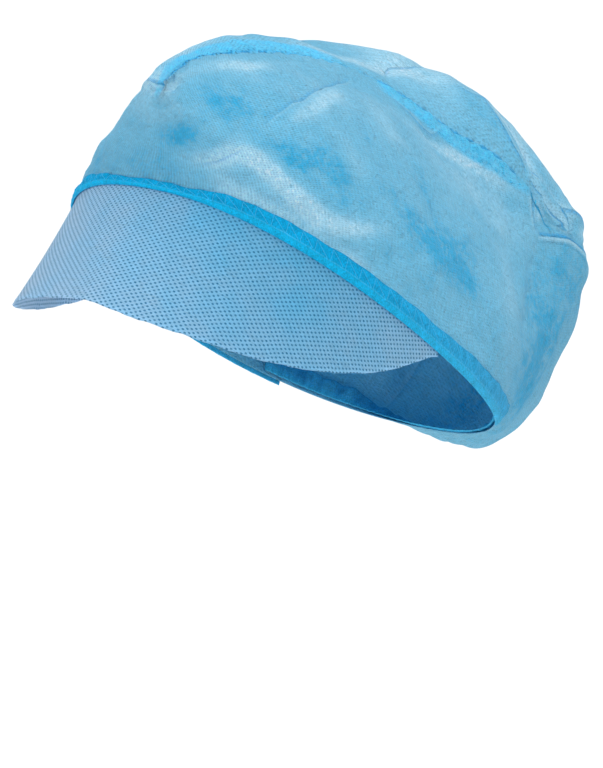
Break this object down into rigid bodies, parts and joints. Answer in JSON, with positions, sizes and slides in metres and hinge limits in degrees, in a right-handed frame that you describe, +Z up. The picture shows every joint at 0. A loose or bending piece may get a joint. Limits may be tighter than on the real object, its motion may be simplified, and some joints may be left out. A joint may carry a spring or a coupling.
{
  "type": "disposable peaked cap",
  "caption": "Limp nonwoven cap with a gathered crown that slouches to the back, an overlocked brow band, an elastic nape hem and a deep stiffened peak.",
  "frame": {"origin": "middle of the rim, where the head goes in: halfway between brow and nape and between the ears", "axes": "+Z up as worn, the peak points to -Y, +X is the wearer's left"},
  "size_m": [0.1531, 0.2561, 0.1623],
  "materials": {
    "crown_cloth": "thin spunbonded nonwoven, matt and slightly translucent",
    "band_cloth": "several layers of the same nonwoven, folded and overlocked",
    "elastic_casing": "nonwoven hem gathered on a flat elastic",
    "seam_allowance": "two raw nonwoven edges sewn together",
    "peak_cloth": "thicker bonded nonwoven, point-bonded in rows, matt"
  },
  "bodies": {
    "root": {"crown": "crown_cloth", "brow_band": "band_cloth", "nape_elastic": "elastic_casing", "front_seam_flange": "seam_allowance", "rear_seam_flange": "seam_allowance", "peak": "peak_cloth"}
  },
  "joints": []
}
